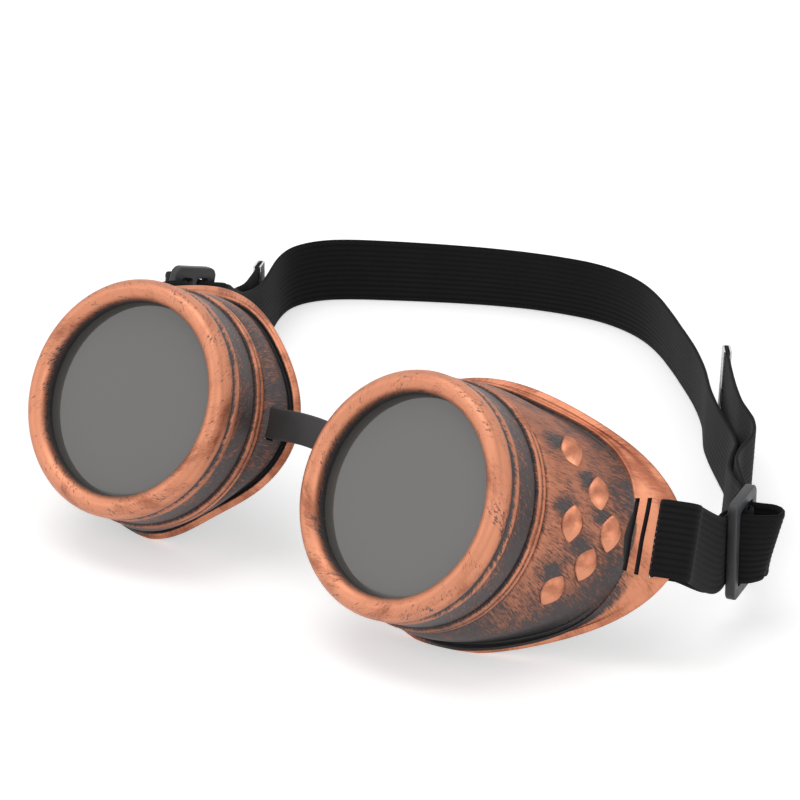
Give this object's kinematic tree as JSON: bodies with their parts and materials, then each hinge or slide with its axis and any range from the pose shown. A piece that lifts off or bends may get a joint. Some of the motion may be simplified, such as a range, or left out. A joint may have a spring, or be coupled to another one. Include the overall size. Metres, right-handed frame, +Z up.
{
  "type": "steampunk goggles",
  "caption": "Round-lens steampunk goggles with antique copper cups, screw-on lens rings and a black elastic head strap with sliders.",
  "frame": {"origin": "on the table under the middle of the whole outline, as the goggles stand", "axes": "+Z up from the table, +Y from the lenses to the back of the strap, +X to the side called right; lenses face -Y and are tipped 29.4 degrees upwards"},
  "size_m": [0.216, 0.2024, 0.0651],
  "materials": {
    "copper_finish": "antique copper finish rubbed over dark patina, on moulded plastic",
    "dark_lens": "smoked grey, polished",
    "gasket_rubber": "matte black",
    "bridge_rubber": "matte charcoal, moulded",
    "webbing": "ribbed woven elastic, matte black",
    "slider_plastic": "satin moulded, dark grey",
    "tip_steel": "bright folded sheet"
  },
  "bodies": {
    "right_cup": {"right_eye_cup": "copper_finish", "nose_bridge": "bridge_rubber", "head_strap": "webbing", "right_strap_tip": "tip_steel"},
    "left_cup": {"left_eye_cup": "copper_finish", "left_strap_tip": "tip_steel"},
    "right_glazing": {"right_lens": "dark_lens", "right_lens_gasket": "gasket_rubber"},
    "left_glazing": {"left_lens": "dark_lens", "left_lens_gasket": "gasket_rubber"},
    "right_ring": {"right_lens_ring": "copper_finish"},
    "left_ring": {"left_lens_ring": "copper_finish"},
    "right_adjuster": {"right_slider": "slider_plastic"},
    "left_adjuster": {"left_slider": "slider_plastic"}
  },
  "joints": [
    {"name": "bridge_flex", "type": "hinge", "parent": "right_cup", "child": "left_cup", "pos_m": [0.00526, -0.06683, 0.03614], "axis": [0, 0.4909, 0.8712], "range_deg": [-10, 10], "stiffness_Nm_per_rad": 0.3, "deforming": ["nose_bridge", "head_strap"]},
    {"name": "right_ring_travel", "type": "slide", "parent": "right_cup", "child": "right_glazing", "axis": [-0.0454, -0.8703, 0.4904], "range_m": [0, 0.00501]},
    {"name": "right_ring_turn", "type": "hinge", "parent": "right_glazing", "child": "right_ring", "pos_m": [0.04826, -0.086, 0.0396], "axis": [-0.0454, -0.8703, 0.4904], "range_deg": [0, 720]},
    {"name": "left_ring_travel", "type": "slide", "parent": "left_cup", "child": "left_glazing", "axis": [0.0454, -0.8703, 0.4904], "range_m": [0, 0.00501]},
    {"name": "left_ring_turn", "type": "hinge", "parent": "left_glazing", "child": "left_ring", "pos_m": [-0.03774, -0.086, 0.0396], "axis": [0.0454, -0.8703, 0.4904], "range_deg": [0, 720]},
    {"name": "right_slider_travel", "type": "slide", "parent": "right_cup", "child": "right_adjuster", "axis": [-0.2924, 0.9563, 0], "range_m": [-0.01, 0.015], "deforming": ["head_strap"]},
    {"name": "left_slider_travel", "type": "slide", "parent": "left_cup", "child": "left_adjuster", "axis": [0.0663, 0.9487, -0.309], "range_m": [-0.018, 0.008], "deforming": ["head_strap"]}
  ],
  "couplings": [
    {"joint": "right_ring_travel", "follows": "right_ring_turn", "m_per_rad": 0.00039789},
    {"joint": "left_ring_travel", "follows": "left_ring_turn", "m_per_rad": 0.00039789}
  ]
}
